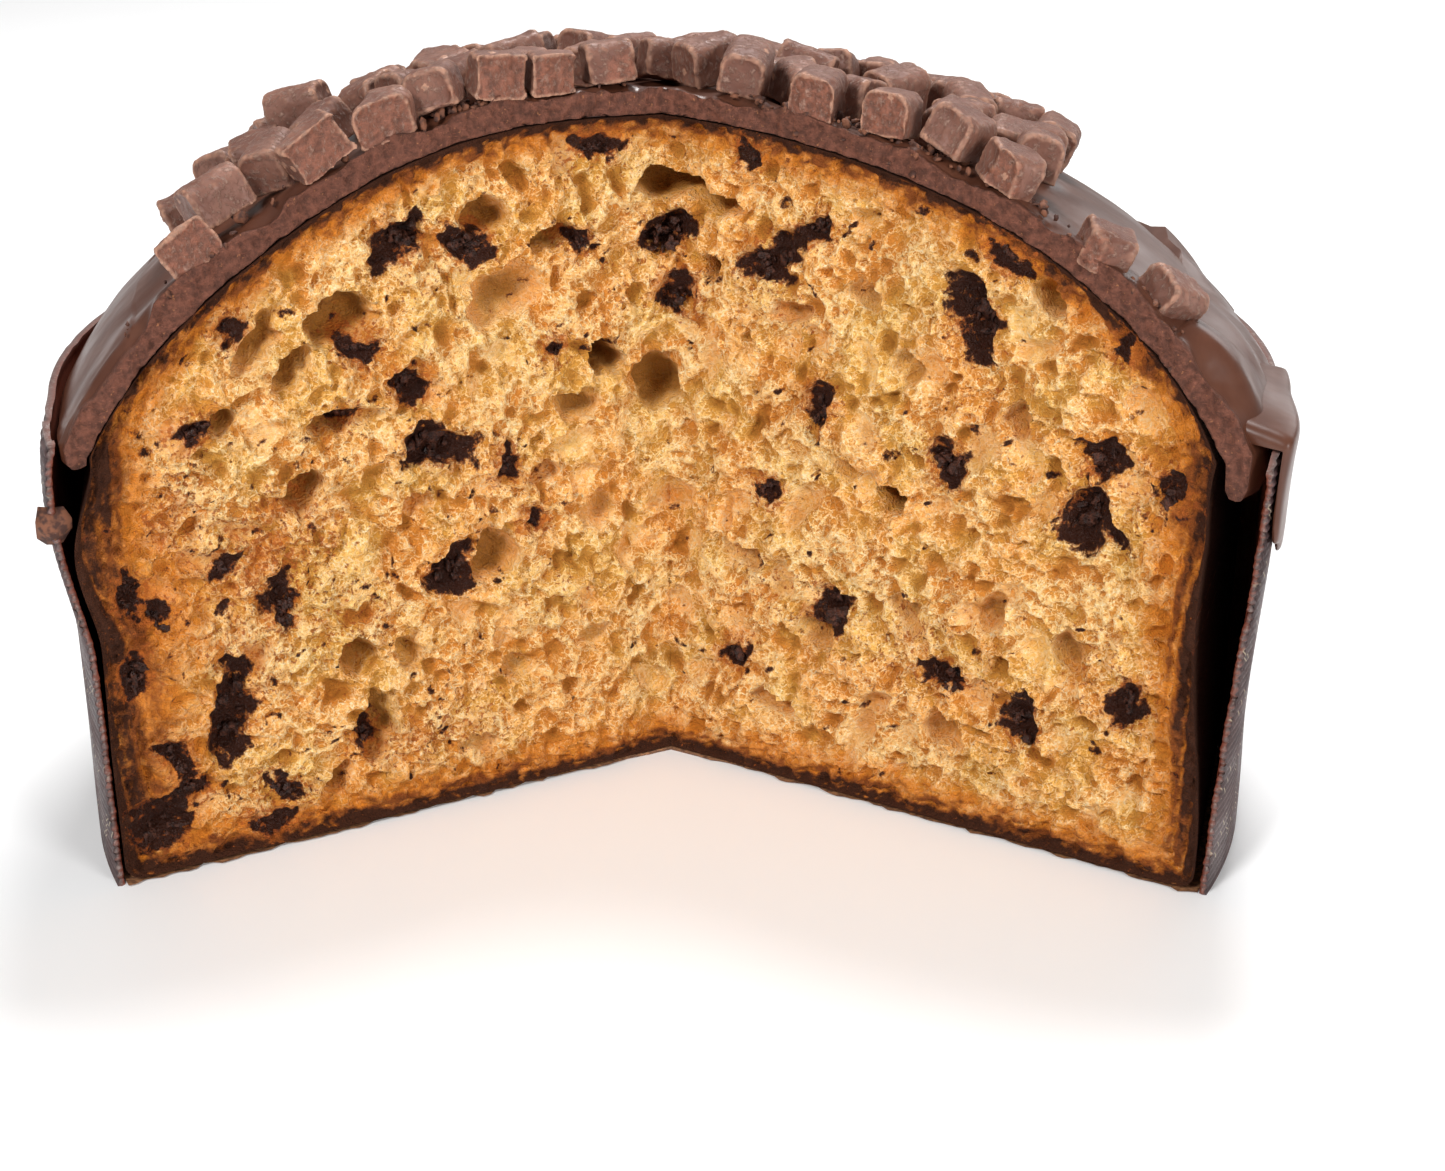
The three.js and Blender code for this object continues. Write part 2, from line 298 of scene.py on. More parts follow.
class Finish:
    def __init__(self, name, roughness, colours=None, **constants):
        self.colours = colours or {}
        self.material = bpy.data.materials.new(name)
        self.material.use_nodes = True
        self.tree = self.material.node_tree
        self.shader = self.tree.nodes["Principled BSDF"]
        self.feed(Roughness=roughness, **constants)
        coords = self.node("ShaderNodeTexCoord", out="Object")
        self.place = self.node("ShaderNodeVectorMath", {"operation": "SCALE"}, {0: coords, "Scale": 1000})

    def node(self, kind, settings=None, sockets=None, out=0):
        made = self.tree.nodes.new(kind)
        for key, value in (settings or {}).items():
            setattr(made, key, value)
        for key, value in (sockets or {}).items():
            self.join(made.inputs[key], value)
        return Wire(self, made.outputs[out])

    def join(self, socket, value):
        if isinstance(value, Wire):
            self.tree.links.new(value.socket, socket)
        elif isinstance(value, (tuple, list)) and socket.type == "RGBA":
            socket.default_value = (*value, 1)
        else:
            socket.default_value = value

    def maths(self, operation, first, second):
        return self.node("ShaderNodeMath", {"operation": operation}, {0: first, 1: second})

    def attribute(self, name):
        return self.node("ShaderNodeAttribute", {"attribute_name": name}, out="Fac")

    def coats(self, colour, *coats):  # each coat is a mask and the colour it lays over the last
        for mask, tint in coats:
            under, over = (self.colours.get(value, value) for value in (colour, tint))
            colour = self.node("ShaderNodeMix", {"data_type": "RGBA"}, {0: mask, 6: under, 7: over}, out=2)
        return colour

    def ramp(self, value, low, high, to=(0, 1)):  # a soft step of a value from low to high
        sockets = {"Value": value, "From Min": low, "From Max": high, "To Min": to[0], "To Max": to[1]}
        return self.node("ShaderNodeMapRange", {"interpolation_type": "SMOOTHSTEP"}, sockets)

    def cloud(self, size, detail=3, rough=0.55, stretch=(1, 1, 1), shift=0, out="Fac"):
        sockets = {"Vector": self.place, "Location": (shift,) * 3, "Scale": stretch}
        spot = self.node("ShaderNodeMapping", {}, sockets)
        sockets = {"Vector": spot, "Scale": 1 / size, "Detail": detail, "Roughness": rough}
        return self.node("ShaderNodeTexNoise", {}, sockets, out)

    def webs(self, size, warp, shift=0):  # 0 on the thin walls between bubbles, 1 inside them
        blur = self.cloud(size * 1.6, 3, 0.6, shift=shift, out="Color")
        sockets = {0: blur, 1: (warp * 4,) * 3, 2: self.place}
        moved = self.node("ShaderNodeVectorMath", {"operation": "MULTIPLY_ADD"}, sockets)
        settings = {"feature": "DISTANCE_TO_EDGE"}
        walls = self.node("ShaderNodeTexVoronoi", settings, {"Vector": moved, "Scale": 1 / size}, "Distance")
        return self.ramp(walls, 0.02, 0.26)

    def bump(self, height, strength, reach):  # reach is the height's real depth in millimetres
        sockets = {"Height": height, "Strength": strength, "Distance": reach * mm}
        self.join(self.shader.inputs["Normal"], self.node("ShaderNodeBump", {}, sockets))

    def feed(self, **wires):
        for name, value in wires.items():
            self.join(self.shader.inputs[name.replace("_", " ")], value)
        return self.material


crumbMasks = ("deep", "pore", "smoothWall", "edge", "fibre", "stain", "smear")
# Some colours here are painted light: the pale cream is a painted highlight on the thin walls between pores,
# and the amber, olive and dark orange-brown colours are painted shade inside the holes and pores.
crumbColours = {
    "yellow": (1.0, 0.62, 0.235), "orange": (1.0, 0.49, 0.14), "gold": (0.96, 0.58, 0.14),
    "creamHighlight": (1.0, 0.82, 0.50), "shaded": (0.68, 0.28, 0.05), "amberShade": (0.62, 0.205, 0.021),
    "oliveShade": (0.60, 0.265, 0.035), "hollowShade": (0.27, 0.10, 0.012), "pitShade": (0.30, 0.10, 0.010),
    "toasted": (0.66, 0.20, 0.017), "brown": (0.20, 0.048, 0.009), "burnt": (0.048, 0.013, 0.004),
    "dusty": (0.33, 0.078, 0.014), "rusty": (0.50, 0.13, 0.016), "stained": (0.17, 0.036, 0.009),
    "chocolate": (0.030, 0.008, 0.0035),
}


def crumbFinish():  # edge is how far in from the crust a place is, in millimetres of an even bake
    finish = Finish("bread_crumb", 0.8, crumbColours, Specular_IOR_Level=0.2)
    cloud, ramp = finish.cloud, finish.ramp
    deep, pore, smoothWall, edge, fibre, stain, smear = map(finish.attribute, crumbMasks)
    fine = cloud(0.7, 5, 0.75)
    golden = cloud(11, 3, shift=90)
    sponge = finish.webs(1.15, 0.6) * 0.6 + finish.webs(0.55, 0.35, shift=3) * 0.4
    sponge = sponge * (1 - smoothWall * 0.35)
    # Painted highlight: the thin walls between pores and bubbles are coloured pale cream, as if lit.
    wall = ramp(fine, 0.38, 0.66) * ramp(sponge + pore * 0.4, 0.6, 0.1)
    # Painted shade: the insides of pores, bubbles and larger holes are coloured a darker amber and olive, as
    # if in shade.
    amberShade = finish.coats("amberShade", (ramp(golden, 0.4, 0.6), "oliveShade"))
    shade = ramp(cloud(4.5, 4, 0.62, shift=55), 0.5, 0.66)
    streak = fibre * 2.2
    toast = ramp(edge + cloud(6, 4, shift=12) * 7 - 3.5 + streak, 7.5, 2.2)
    brown = ramp(edge + cloud(3, 4, 0.65, shift=3) * 5 - 2.5 + streak, 3.6, 1.4)
    dark = ramp(edge + cloud(1.8, 4, 0.65, shift=8) * 3 - 1.5 + streak * 0.6, 1.8, 0.8)
    dust = ramp(cloud(1.0, 4, 0.62, shift=7) + smear * 0.22, 0.65, 0.74)
    tinge = ramp(smear + cloud(3, 3, shift=27) * 1.6 - 0.8, 0.35, 1.0)
    ragged = stain + cloud(1.9, 5, 0.68, shift=19) * 3.2 - 1.6
    near = ramp(stain, 0.03, 0.2)
    melt = ramp(ragged, 0.38, 0.62) * near
    colour = finish.coats(
        "yellow",
        (ramp(cloud(15, 3, shift=31), 0.38, 0.62), "orange"),
        (ramp(golden, 0.5, 0.66) * 0.5, "gold"),
        (wall, "creamHighlight"),
        (shade * 0.45, "shaded"),
        # painted shade: pores, bubbles and hole floors darkened to amber
        (ramp(sponge * 0.75 + pore, 0.32, 1.0) * 0.92, amberShade),
        (ramp(deep, 0.08, 0.6) * 0.65, amberShade),
        # painted shade: the deepest holes and pits darkened
        (ramp(deep, 0.55, 1.0) * 0.9, "hollowShade"),
        (ramp(pore, 0.6, 1.15) * 0.7, "pitShade"),
        (toast * 0.9, "toasted"),
        (brown * 0.92, "brown"),
        (dark, "burnt"),
        (dust * 0.85, "dusty"),
        (tinge * 0.62, "rusty"),
        (ramp(ragged, 0.1, 0.45) * near * 0.85, "stained"),
        (melt, "chocolate"),
    )
    finish.bump(fine * 0.8 - sponge * 1.5 + cloud(0.3, 2) * 0.5, 0.75, 0.5)
    return finish.feed(Base_Color=colour, Roughness=0.85 - melt * 0.5)


def lumpFinish():
    finish = Finish("baked_chocolate", 0.42, Specular_IOR_Level=0.35)
    grain = finish.cloud(1.1, 5, 0.65)
    colour = finish.coats((0.022, 0.006, 0.003), (finish.ramp(grain, 0.4, 0.7), (0.095, 0.026, 0.011)))
    finish.bump(grain + finish.cloud(0.4, 2), 0.9, 0.6)
    return finish.feed(Base_Color=colour, Roughness=finish.ramp(grain, 0.3, 0.7, (0.28, 0.6)))


glazeColours = {
    "smooth": (0.070, 0.023, 0.012), "pale": (0.098, 0.036, 0.020), "cut": (0.108, 0.038, 0.023),
    "dusty": (0.42, 0.17, 0.07),
}
chunkColours = {
    "smooth": (0.125, 0.048, 0.031), "pale": (0.230, 0.107, 0.074), "cut": (0.150, 0.054, 0.032),
    "dusty": (0.34, 0.15, 0.08), "wearAndCreaseShade": (0.42, 0.22, 0.145), "hollowShade": (0.05, 0.018, 0.010),
    "bloomed": (0.37, 0.235, 0.18),
}


def chocolateColours(finish):  # smooth outside, dark and scratched where a knife went through
    sliced = finish.attribute("sliced")
    torn = finish.cloud(1.3, 5, 0.62, shift=5)
    scratch = finish.ramp(finish.cloud(1.6, 4, 0.7, stretch=(1, 1, 5), shift=63), 0.58, 0.68)
    dark, light, scratched = (tuple(c * share for c in finish.colours["cut"]) for share in (0.7, 1.6, 2.4))
    crumbly = finish.coats(dark, (finish.ramp(torn, 0.32, 0.7), light), (scratch * 0.5, scratched))
    cloudy = finish.ramp(finish.cloud(9, 4), 0.35, 0.75)
    return sliced, torn, finish.coats("smooth", (cloudy, "pale"), (sliced, crumbly))


def glazeFinish():
    finish = Finish("glaze", 0.3, glazeColours, Specular_IOR_Level=0.32)
    sliced, torn, colour = chocolateColours(finish)
    dust = finish.ramp(finish.cloud(0.7, 4, 0.7, shift=77), 0.62, 0.70) * sliced
    colour = finish.coats(colour, (dust * 0.7, "dusty"))
    finish.bump(finish.cloud(6, 2) * 0.25 + torn * sliced * 2.4, 0.75, 0.7)
    shine = finish.ramp(finish.cloud(12, 3), 0.3, 0.7, (0.30, 0.42))
    return finish.feed(Base_Color=colour, Roughness=sliced * 0.45 + shine)


def chunkFinish():
    finish = Finish("topping_chocolate", 0.5, chunkColours, Specular_IOR_Level=0.35)
    sliced, torn, colour = chocolateColours(finish)
    # Pointiness: edge wear lightens the convex edges, and painted shade darkens the concave creases.
    wearAndCreaseShade = finish.node("ShaderNodeNewGeometry", out="Pointiness")
    bloom = finish.ramp(finish.cloud(1.1, 5, 0.72, stretch=(1, 2.2, 1), shift=11), 0.5, 0.66)
    dust = finish.ramp(finish.cloud(0.7, 4, 0.7, shift=77), 0.62, 0.72) * sliced
    colour = finish.coats(
        colour,
        (finish.ramp(wearAndCreaseShade, 0.505, 0.565) * 0.9, "wearAndCreaseShade"),
        # painted shade: the chunks' creases and hollows darkened
        (finish.ramp(wearAndCreaseShade, 0.49, 0.44) * 0.6, "hollowShade"),
        (bloom * 0.55, "bloomed"),
        (dust * 0.6, "dusty"),
    )
    finish.bump(torn * (sliced * 1.6 + 0.5) + bloom * 0.5, 0.7, 0.45)
    return finish.feed(Base_Color=colour, Roughness=finish.ramp(finish.cloud(2.5, 3), 0.3, 0.7, (0.4, 0.62)))


def crumbsFinish():
    finish = Finish("shavings", 0.8)
    tint = finish.ramp(finish.cloud(1.5, 2), 0.4, 0.6)
    return finish.feed(Base_Color=finish.coats((0.05, 0.016, 0.009), (tint, (0.17, 0.06, 0.028))))


paperColours = {
    "dark": (0.055, 0.030, 0.030), "pale": (0.105, 0.060, 0.057), "grooveShade": (0.018, 0.008, 0.008),
    "line": (0.42, 0.34, 0.24), "inside": (0.15, 0.028, 0.011), "torn": (0.22, 0.165, 0.145),
}
zigzag = {"half": 4.5, "steep": 1.5, "apart": 6}  # the printed line's half wave, slope and half spacing


def paperFinish():  # along is millimetres round the wall, up is millimetres above the table
    finish = Finish("mould_paper", 0.5, paperColours, Specular_IOR_Level=0.3)
    along, up, grooveShade, inside, torn = map(finish.attribute, ("along", "up", "grooveShade", "inside", "torn"))
    zig = finish.maths("PINGPONG", along, zigzag["half"])
    zag = finish.maths("PINGPONG", up + zig * zigzag["steep"], zigzag["apart"])
    line = finish.ramp(zag, 0.42, 0.16) * finish.ramp(finish.cloud(3, 3), 0.42, 0.55)
    fibre = finish.ramp(finish.cloud(0.7, 3, 0.7), 0.5, 0.68)
    colour = finish.coats(
        "dark",
        (finish.ramp(finish.cloud(7, 4), 0.3, 0.7), "pale"),
        # painted shade: the corrugation's grooves darkened
        (grooveShade * 0.7, "grooveShade"),
        (line * 0.75, "line"),
        (inside, "inside"),
        (torn * (fibre * 0.7 + 0.3), "torn"),
    )
    grease = finish.ramp(finish.cloud(9, 3, shift=4), 0.35, 0.65, (0.34, 0.6))
    finish.bump(finish.cloud(0.6, 4, stretch=(1, 1, 2)), 0.35, 0.25)
    return finish.feed(Base_Color=colour, Roughness=grease)


def basePaperFinish():
    finish = Finish("base_paper", 0.7)
    fibre = finish.cloud(0.5, 4, 0.7, stretch=(0.4, 1, 1))
    colour = finish.coats((0.085, 0.032, 0.014), (finish.ramp(fibre, 0.35, 0.7), (0.34, 0.15, 0.06)))
    finish.bump(fibre, 0.6, 0.3)
    return finish.feed(Base_Color=colour)


# Places in the crumb, chosen one by one: [along the cut, height, half width, half height, turn, depth].
# Along the cut is negative on the left face. A turn of 0 leaves the longer way level.

crumb = {
    "columns": 280, "rows": 330, "cell": 0.25, "seed": 11,
    "tiny": (11500, 0.38, 0.85, (0.8, 1.5)),  # how many, least and most size, depth for the size
    "small": (1700, 0.85, 1.6, (0.7, 1.3)),
    "middling": (120, 1.8, 3.0, (0.6, 1.1)),
    "flecks": (1100, 0.2, 0.8),
    "shreds": 5, "holeDepth": 1.5, "leftBake": 2.3, "rightBake": 0.8,
}
bigHoles = [
    [-27, 88, 6.6, 4.4, 10, 3.2], [-55, 89, 5.6, 4, 5, 5], [-10, 76, 2.8, 3.6, 10, 7],
    [-2, 69, 2.9, 5, -8, 4.5], [-15, 68, 3.9, 2.9, 10, 3.5], [-63, 61, 3, 3.8, -10, 4.5],
    [-75, 75, 2.3, 2.2, 0, 4], [-59, 72, 3.6, 2.6, 5, 4.5], [-68, 88, 6.5, 1.9, 52, 3.5],
    [-64, 83, 4.8, 1.7, 48, 4], [-31, 102, 3.5, 3, 10, 4.5], [-19, 97, 4.8, 2.2, 8, 4.5],
    [-54, 17, 3.2, 6.4, -18, 4.5], [-62, 9, 1.9, 3.2, -15, 3.5], [-31, 44, 3.6, 4.6, -20, 4],
    [1, 104, 5.4, 2, -6, 5], [8, 101, 5, 1.6, -12, 3.5], [67, 95, 1.8, 3, 38, 4],
    [41, 57, 3, 2, 0, 6], [7, 90, 1.7, 1.9, 0, 5], [-56, 31, 2.2, 3.8, -5, 3.5],
    [-88, 86, 2.3, 1.6, 30, 2.5], [-83, 93, 2, 2.2, 0, 2.5], [22, 85, 3.4, 2.2, 20, 2.6],
    [36, 90, 3.2, 2, -20, 2.8], [44, 80, 2.6, 1.8, -30, 2.6], [63, 74, 2.2, 3.4, 15, 2.8],
    [32, 60, 3, 2.2, 15, 2.6], [-44, 55, 3, 2, 20, 2.6], [-22, 57, 2.8, 2.2, 0, 2.6],
    [-12, 48, 3.4, 2.4, 15, 2.6], [-47, 30, 2.6, 3.4, 0, 2.8], [-28, 22, 4.2, 2.2, 10, 2.6],
    [-14, 25, 3, 2, -10, 2.4], [-36, 10, 3.4, 1.8, 5, 2.6], [14, 40, 3.6, 2.4, -10, 2.6],
    [28, 28, 3.2, 2.8, 20, 2.8], [45, 36, 2.6, 3.6, 0, 2.8], [60, 40, 3, 3.8, 10, 3],
    [73, 36, 2.6, 4, -5, 3], [20, 14, 3.6, 2.2, 0, 2.6], [52, 16, 3.6, 2.4, -12, 2.8],
]
chocolateLumps = [
    [-45, 100, 5.2, 2, 28, 3.4], [-34, 98, 3.6, 1.6, -35, 2.8], [-45, 76, 1.8, 2.2, 0, 3.6],
    [-41, 65, 6, 2.5, -14, 4.2], [-80, 75, 2.4, 1.2, 20, 2], [-39, 43, 3.2, 2.9, 0, 3.6],
    [-68, 43, 1.9, 4, -8, 2.8], [-78, 26, 3.4, 8, -6, 4.4], [-93, 50, 0.9, 4, 0, 2.6],
    [-89, 45, 1, 2.9, 38, 1.8], [-93, 36, 1.8, 3.4, -10, 2], [-78, 51, 1.7, 1.1, 0, 1.6],
    [-71, 10, 2.8, 1, -32, 1.8], [-86, 14, 3.2, 0.9, -6, 1.6], [-74, 5, 3.4, 1, 8, 1.6],
    [-92, 9, 4.2, 4.4, 30, 3], [-88, 20, 1.4, 3.6, 20, 2], [0, 95, 2.1, 3.8, -22, 3.4],
    [19, 94, 5.6, 2.4, 38, 3.8], [27, 100, 3, 1.2, 12, 2.2], [15, 111, 1.1, 2, 20, 1.6],
    [-11, 111, 3.6, 1.1, -4, 1.8], [2, 85, 1.2, 2.8, -30, 1.8], [55, 90, 2.8, 5.2, 22, 5],
    [28, 70, 1.4, 2.9, -8, 2.8], [51, 65, 2.4, 2.8, 20, 3], [77, 70, 2, 3.2, 30, 2.4],
    [75, 60, 3.4, 4, -20, 4.4], [89, 67, 1.4, 2, -30, 2], [60, 101, 4.4, 1, -38, 1.8],
    [-53, 84, 3.2, 1, -2, 2.6], [-14, 96, 1.2, 1.4, 0, 1.8], [-56, 15, 1.5, 1.7, 0, 2.4],
    [-57, 73, 2.4, 1, 10, 2.2], [-73, 90, 1, 1.8, 35, 1.6], [79, 89, 1, 1.6, -20, 1.4],
    [-19, 78, 0.9, 0.8, 0, 1.2], [-29, 60, 1, 2, 10, 1.4], [-24, 49, 0.9, 1.2, 0, 1.2],
    [30, 34, 2.6, 3.8, 20, 3], [52, 27, 3.8, 1.8, -15, 3], [66, 22, 1.8, 3.4, 10, 2.6],
    [18, 54, 1.6, 1, 15, 1.6], [12, 22, 2.6, 1.4, 0, 2.2], [84, 30, 1.6, 3.6, 5, 2.4],
]
smears = [  # [along, height, half width, half height, turn, strength]
    [-70, 52, 22, 18, 20, 0.75], [-58, 38, 16, 14, 0, 0.55], [-76, 34, 12, 18, 0, 0.6],
    [-45, 14, 26, 9, 8, 0.6], [-26, 56, 14, 12, 0, 0.4], [-84, 60, 9, 16, 0, 0.7],
    [-40, 92, 22, 8, 12, 0.4], [-8, 88, 8, 12, 0, 0.45], [20, 88, 18, 12, 25, 0.4],
    [60, 74, 18, 14, 0, 0.4], [84, 66, 8, 16, 0, 0.5], [-12, 108, 22, 5, 0, 0.5],
    [48, 30, 26, 16, 10, 0.5], [16, 36, 12, 14, 0, 0.4], [78, 34, 10, 18, 0, 0.5],
    [-18, 36, 14, 10, 0, 0.4],
]


# The crumb's relief is drawn once, on a flat map of both cut faces

class CrumbMap:
    def __init__(self):
        self.cell = crumb["cell"]
        across = np.arange(-104, 104, self.cell)
        up = np.arange(-4, 124, self.cell)
        self.origin = (across[0], up[0])
        across, up = np.meshgrid(across, up)
        spots = np.stack([across, up], -1)
        self.warpedAcross = across + layered(spots, 6, 3) * 1.2 + layered(spots, 1.7, 5, 2) * 0.5
        self.warpedUp = up + layered(spots, 6, 4) * 1.2 + layered(spots, 1.7, 6, 2) * 0.5
        self.big, self.small, self.stain, self.smear = (np.zeros_like(across) for _ in range(4))
        self.draw()
        slow = layered(spots, 22, 8, 2) * 1.1 + layered(spots, 7, 9, 2) * 0.6
        ragged = layered(spots, 2.2, 12, 3) * 0.55
        inBig = smooth(self.big, 0.3, 1.6)
        spongy = self.small * (1.2 - 0.8 * inBig) + ragged * (1 - 0.6 * inBig)
        self.depth = self.big + spongy + slow + 1.0
        self.masks = {
            "deep": np.clip(self.big / 5, 0, 1),
            "pore": np.clip(self.small / 1.5, 0, 1.2) * (1 - 0.65 * inBig),
            "smoothWall": inBig,
            "stain": self.stain,
            "smear": self.smear,
        }

    def stamp(self, field, place, power=0.5):
        along, height, wide, tall, turn, deep = place
        reach = max(wide, tall) + 1.6
        left = int((along - reach - self.origin[0]) / self.cell)
        low = int((height - reach - self.origin[1]) / self.cell)
        size = int(2 * reach / self.cell) + 2
        window = np.s_[max(low, 0):low + size, max(left, 0):left + size]
        x, y = turned(self.warpedAcross[window] - along, self.warpedUp[window] - height, -turn)
        cup = deep * np.clip(1 - np.square(x / wide) - np.square(y / tall), 0, None) ** power
        field[window] = np.maximum(field[window], cup)

    def scatter(self, rng, field, count, least, most, deepness):
        for _ in range(count):
            along, height = rng.uniform(-97, 97), rng.uniform(1, 113)
            size = least * (most / least) ** (rng.random() ** 1.5)
            stretch = rng.uniform(1.0, 2.0)
            flow = math.degrees(math.atan2(height + 12, along * 0.9))  # strands fan out from the foot
            turn = flow + rng.normal(0, 26)
            self.stamp(field, [along, height, size * stretch, size, turn, size * rng.uniform(*deepness)])

    def fleck(self, rng, count, least, most):  # crumbs of chocolate that the knife dragged about
        for _ in range(count):
            if rng.random() < 0.5:
                lump = chocolateLumps[rng.integers(len(chocolateLumps))]
                along, height = lump[0] + rng.normal(0, 7), lump[1] + rng.normal(0, 6)
            elif rng.random() < 0.5:
                along, height = rng.uniform(-90, -30), rng.uniform(5, 75)
            else:
                along, height = rng.uniform(-95, 95), rng.uniform(3, 110)
            size = least * (most / least) ** (rng.random() ** 2.2)
            wide = size * rng.uniform(1, 2.4)
            place = [along, height, wide, size, rng.normal(10, 35), rng.uniform(0.15, 0.75)]
            self.stamp(self.stain, place, 0.7)

    def lumpBed(self, rng, along, height, wide, tall, turn, deep):  # the hole and stain round a lump
        self.stamp(self.big, [along, height + 0.4, wide + 0.7, tall + 0.8, turn, deep])
        self.stamp(self.stain, [along, height, wide + 0.7, tall + 0.7, turn, 1.05], 0.6)
        self.stamp(self.smear, [along, height, wide + 5, tall + 5, turn, 1.0], 1.5)
        for _ in range(crumb["shreds"]):  # they leave its outline ragged
            swing = rng.uniform(0, 360)
            x, y = turned(wide * math.cos(swing), tall * math.sin(swing), turn)
            shred = rng.uniform(0.5, 1.1) * min(wide, tall, 2)
            place = [along + x, height + y, shred * rng.uniform(1, 2), shred, rng.normal(20, 40)]
            self.stamp(self.stain, [*place, 1.0], 0.6)
            self.stamp(self.big, [*place, deep * rng.uniform(0.3, 0.7)])

    def draw(self):
        rng = np.random.default_rng(crumb["seed"])
        self.scatter(rng, self.small, *crumb["tiny"])
        self.scatter(rng, self.small, *crumb["small"])
        self.scatter(rng, self.big, *crumb["middling"])
        for along, height, wide, tall, turn, deep in bigHoles:
            self.stamp(self.big, [along, height, wide + 0.3, tall + 0.3, turn, deep * crumb["holeDepth"]])
        self.fleck(rng, *crumb["flecks"])
        for lump in chocolateLumps:
            self.lumpBed(rng, *lump)
        for smear in smears:
            self.stamp(self.smear, smear, 1.2)

    def read(self, field, along, height):
        x = np.clip((along - self.origin[0]) / self.cell, 0, field.shape[1] - 1.001)
        y = np.clip((height - self.origin[1]) / self.cell, 0, field.shape[0] - 1.001)
        column, row = x.astype(int), y.astype(int)
        low = blend(field[row, column], field[row, column + 1], x - column)
        high = blend(field[row + 1, column], field[row + 1, column + 1], x - column)
        return blend(low, high, y - row)


def facePoint(along, height):  # a point of the two cut planes, and the way into the bread there
    point = polar(np.abs(along), np.where(along < 0, cut["left"], cut["right"]), height)
    left, right = (np.array([*flatPlace(1, turn), 0]) for turn in (cut["left"] - 90, cut["right"] + 90))
    into = blend(left, right, smooth(along, -7, 7)[..., None])
    return point, into / np.linalg.norm(into, axis=-1, keepdims=True)


def cutFace(crumbMap, side):
    sign = -1 if side == "left" else 1
    bearing = cut[side]

    def place(u, v):
        reach = 1 - u if side == "left" else u
        top = domeHeight(reach * domeRadius, bearing)
        height = loafFloor + v * (top - loafFloor)
        radius = crustRadius(height, bearing) * reach
        along = sign * radius
        upward = domeNormal(radius, bearing)[1]
        fromWall = crustRadius(height, bearing) - radius
        fromTop = (top - height) * upward
        bake = crumb["leftBake"] * smooth(height, 95, 50) if side == "left" else crumb["rightBake"]
        edge = np.minimum(np.minimum(fromWall, fromTop), height - loafFloor)
        baked = np.minimum(np.minimum(fromWall / (0.8 + bake), fromTop), (height - loafFloor) / 1.15)
        point, into = facePoint(along, height)
        strands = np.stack([radius * 0.9 + edge * 0.3, height * 0.22 + edge * 1.9], -1)
        fibres = layered(strands, 1.5, 21, 3) * 0.75 * smooth(edge, 11, 1)
        depth = crumbMap.read(crumbMap.depth, along, height)
        depth = depth + fibres + 1.6 * hump(along / 10)
        depth = depth * blend(0.6, 1, smooth(edge, 0.5, 7)) * smooth(edge, 0, 0.9)
        masks = {name: crumbMap.read(field, along, height) for name, field in crumbMap.masks.items()}
        return point + into * depth[:, None] * mm, masks | {"edge": baked, "fibre": fibres}

    return sheet("cut_face", crumb["columns"], crumb["rows"], place)


def crustShell(side):
    middle = (cut["left"] + cut["right"]) / 2
    across, rows = crumb["columns"], crumb["rows"]
    steps = 2 * across + rows

    def place(u, v):
        bearing = blend(cut[side], middle, u)
        step = np.rint(v * steps)
        wall = np.clip((step - across) / rows, 0, 1)
        share = np.clip(np.minimum(step, steps - step) / across, 0, 1)
        top = domeHeight(share * domeRadius, bearing)
        height = loafFloor + wall * (top - loafFloor)
        masks = dict.fromkeys(crumbMasks, 0 * u)
        return polar(crustRadius(height, bearing) * share, bearing, height), masks

    return sheet("crust", 4, steps, place)


def makeLoafHalf(crumbMap, material, side):  # the halves meet inside the loaf, opposite the cut
    half = joined(f"loaf_{side}", [cutFace(crumbMap, side), crustShell(side)])
    fillHoles(half)
    print(half.name, len(half.data.polygons), "faces")
    return finished(half, material, "bread", "loaf", angle=62)


def ballCopies(name, shapes, material):  # a small ball modelled once and copied for each shape
    deselectAll()
    bpy.ops.mesh.primitive_ico_sphere_add(subdivisions=2, radius=1)
    master = bpy.context.object
    copies = []
    for points in shapes(coordinates(master)):
        copies.append(copyOf(master, "bit"))
        moveTo(copies[-1], points)
    bpy.data.objects.remove(master)
    print(name, "has", len(copies), "bits")
    return finished(joined(name, copies, weld=0), material, "topping_chocolate")


def makeLumps(crumbMap, material):  # chocolate that was baked in, lying in its holes
    def shapes(ball):
        rng = np.random.default_rng(5)
        for along, height, wide, tall, turn, deep in chocolateLumps:
            small, large = sorted((wide, tall))
            for number in range(int(np.clip(round(3.5 * large / small) + 3, 5, 14))):
                reach = math.sqrt(rng.random()) * 0.78
                swing = rng.uniform(0, 2 * math.pi)
                down = tall * 0.15
                x, y = turned(reach * wide * math.cos(swing), reach * tall * math.sin(swing) - down, turn)
                spot = np.array([along + x]), np.array([height + y])
                size = min(small, 2.4) * rng.uniform(0.16, 0.46)
                stretched = ball * size * rng.uniform(0.5, 1.7, 3)
                swell = 1 + layered(ball + number * 3.7 + along, 0.55, 31)[:, None]
                point, into = facePoint(*spot)
                sink = crumbMap.read(crumbMap.depth, *spot)[0] - size * rng.uniform(-0.2, 0.5)
                yield stretched * swell * mm + point[0] + into[0] * max(sink, 0.5) * mm

    return ballCopies("baked_in_chocolate", shapes, material)


# The glaze

glazeLook = {
    "columns": 110, "rows": 300, "bandRows": 14, "edgeRows": 6,
    "foldWidth": 8, "foldDepth": 4.4, "swelling": 3.2, "atTop": 4, "crowding": 0.12,
}
drip = {"from": -29.4, "to": -7, "bottom": 57, "ledge": 5.4, "thick": 1.5, "columns": 44, "round": 56}


toppingNodes = sorted(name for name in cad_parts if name.startswith("topping_chunk"))


